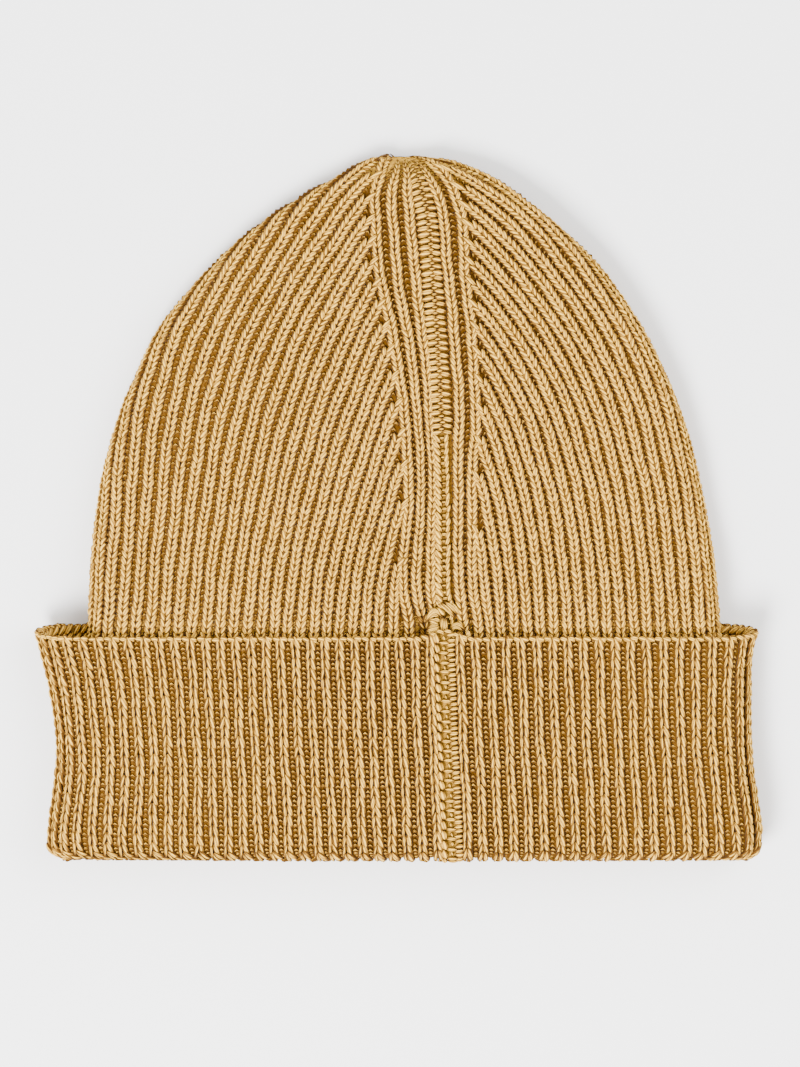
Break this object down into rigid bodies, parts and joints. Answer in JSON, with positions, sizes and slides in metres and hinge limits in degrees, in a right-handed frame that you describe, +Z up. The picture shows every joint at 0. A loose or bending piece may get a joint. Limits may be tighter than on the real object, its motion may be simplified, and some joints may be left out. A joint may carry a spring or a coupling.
{
  "type": "wool beanie",
  "caption": "Ribbed knitted wool cap lying flat, with a turned-up cuff, a back seam from fold to tip and an open head hollow.",
  "frame": {"origin": "middle of the part's box, on the surface that the hat lies on", "axes": "+Z up from that surface, with the seam side on top; +X across the hat; +Y from the fold of the cuff to the tip of the crown"},
  "size_m": [0.223, 0.218, 0.0238],
  "materials": {
    "crown_knit": "soft ribbed wool knit in camel, matt and slightly fuzzy",
    "cuff_knit": "the same wool knit, turned to its other side",
    "seam_yarn": "two-ply wool yarn of the joining stitches"
  },
  "bodies": {
    "root": {"crown": "crown_knit", "cuff": "cuff_knit", "crown_seam": "seam_yarn", "cuff_seam": "seam_yarn", "seam_tack": "seam_yarn"}
  },
  "joints": []
}
